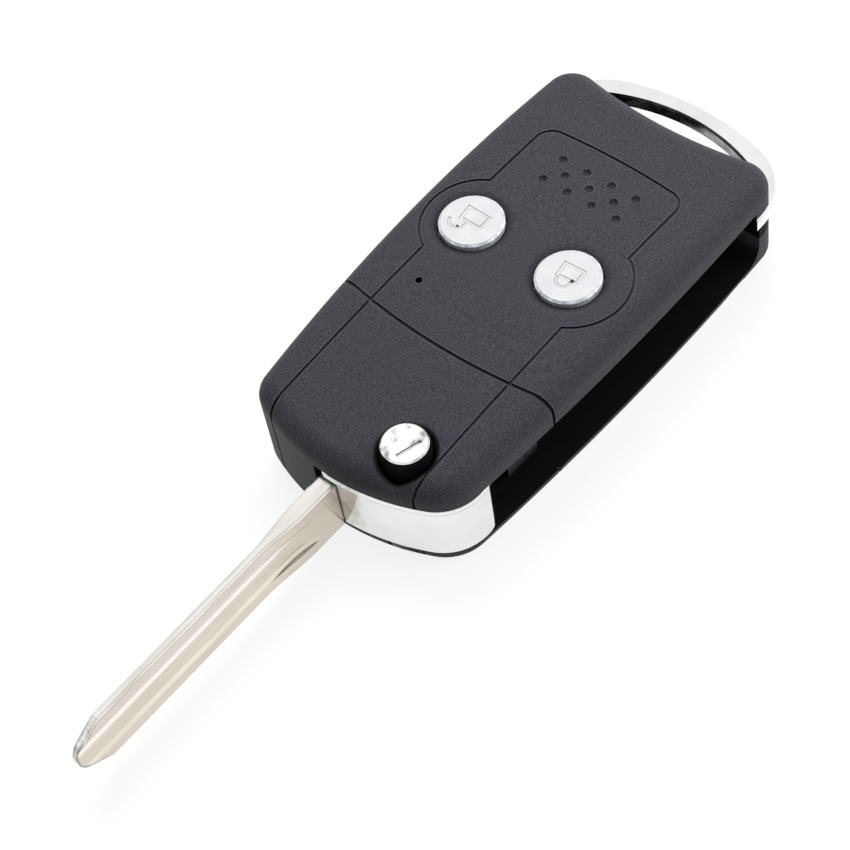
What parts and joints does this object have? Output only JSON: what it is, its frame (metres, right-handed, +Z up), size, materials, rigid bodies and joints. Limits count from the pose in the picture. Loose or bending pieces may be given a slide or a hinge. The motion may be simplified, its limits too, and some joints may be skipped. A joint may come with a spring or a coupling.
{
  "type": "flip key remote shell",
  "caption": "Flip key remote shell: moulded handle with chrome lock and unlock buttons, a key ring bail, and a metal head that swings an uncut blade out of a side slot.",
  "frame": {"origin": "on the flat underside and the handle's long centre line, 0.7 mm ahead of the line through both buttons", "axes": "+X along the handle toward the key ring bail, +Y away from the blade slot's side, +Z up out of the button face; the opened blade points to -X"},
  "size_m": [0.1267, 0.0378, 0.0181],
  "materials": {
    "soft_touch_plastic": "soft-touch matt",
    "dark_plastic": "smooth moulded",
    "chrome": "bright chrome plate",
    "nickel_blade": "nickel plated, ground",
    "spring_steel": "drawn",
    "grey_rubber": "moulded"
  },
  "bodies": {
    "case": {"front_top_cover": "soft_touch_plastic", "front_frame": "soft_touch_plastic", "front_bottom_cover": "soft_touch_plastic", "rear_top_cover": "soft_touch_plastic", "rear_housing": "soft_touch_plastic", "slot_liner": "dark_plastic", "key_ring_bail": "chrome", "bail_carrier": "dark_plastic", "button_membrane": "grey_rubber", "torsion_spring": "spring_steel", "pivot_plug": "chrome", "case_screws": "spring_steel"},
    "flip_head": {"key_head": "chrome", "blade": "nickel_blade", "blade_roll_pin": "spring_steel"},
    "release": {"release_button": "soft_touch_plastic", "release_button_cap": "chrome"},
    "lock": {"lock_button": "chrome"},
    "unlock": {"unlock_button": "chrome"}
  },
  "joints": [
    {"name": "blade_flip", "type": "hinge", "parent": "case", "child": "flip_head", "pos_m": [-0.03236, -0.0075, 0.00715], "axis": [0, 0, 1], "range_deg": [0, 180], "stiffness_Nm_per_rad": 0.008},
    {"name": "release_press", "type": "slide", "parent": "flip_head", "child": "release", "axis": [0, 0, -1], "range_m": [0, 0.0018], "stiffness_N_per_m": 1800, "deforming": ["torsion_spring"]},
    {"name": "lock_press", "type": "slide", "parent": "case", "child": "lock", "axis": [0, 0, -1], "range_m": [0, 0.0006], "stiffness_N_per_m": 2500, "deforming": ["button_membrane"]},
    {"name": "unlock_press", "type": "slide", "parent": "case", "child": "unlock", "axis": [0, 0, -1], "range_m": [0, 0.0006], "stiffness_N_per_m": 2500, "deforming": ["button_membrane"]}
  ]
}
